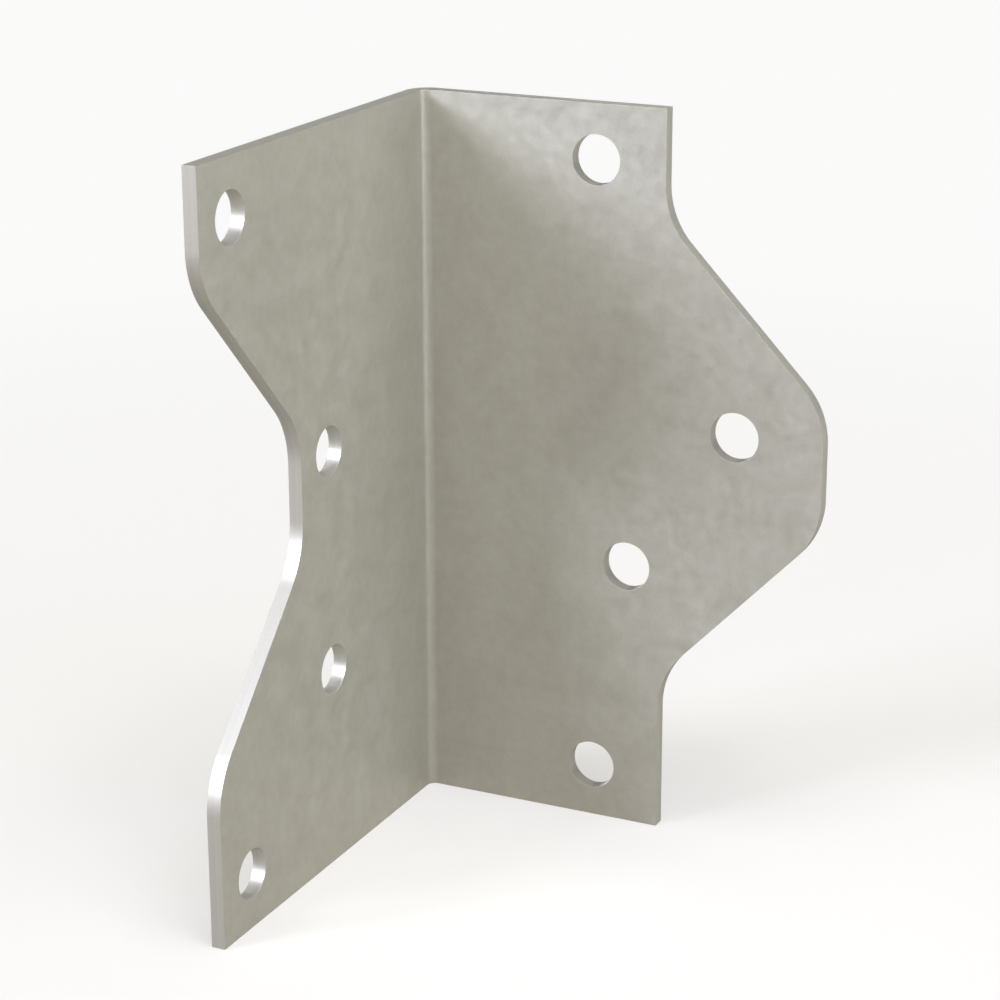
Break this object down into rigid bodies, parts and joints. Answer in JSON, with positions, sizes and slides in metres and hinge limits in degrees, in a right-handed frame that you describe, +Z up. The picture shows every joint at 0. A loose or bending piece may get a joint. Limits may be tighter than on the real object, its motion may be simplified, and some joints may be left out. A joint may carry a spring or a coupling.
{
  "type": "hurricane tie",
  "caption": "Hurricane tie: a one-piece galvanised sheet angle with a square fold, a lobed leg, a waisted leg and round screw holes, joining a rafter or truss to its top plate.",
  "frame": {"origin": "on the ground, under the middle of the square that the two legs span", "axes": "+Z up along the fold, +X along the lobe leg away from the fold, -Y along the waist leg away from the fold"},
  "size_m": [0.0616, 0.0616, 0.104],
  "materials": {
    "galvanised_steel": "satin hot-dip zinc on rolled sheet, warm grey with soft clouding"
  },
  "bodies": {
    "root": {"folded_tie": "galvanised_steel"}
  },
  "joints": []
}
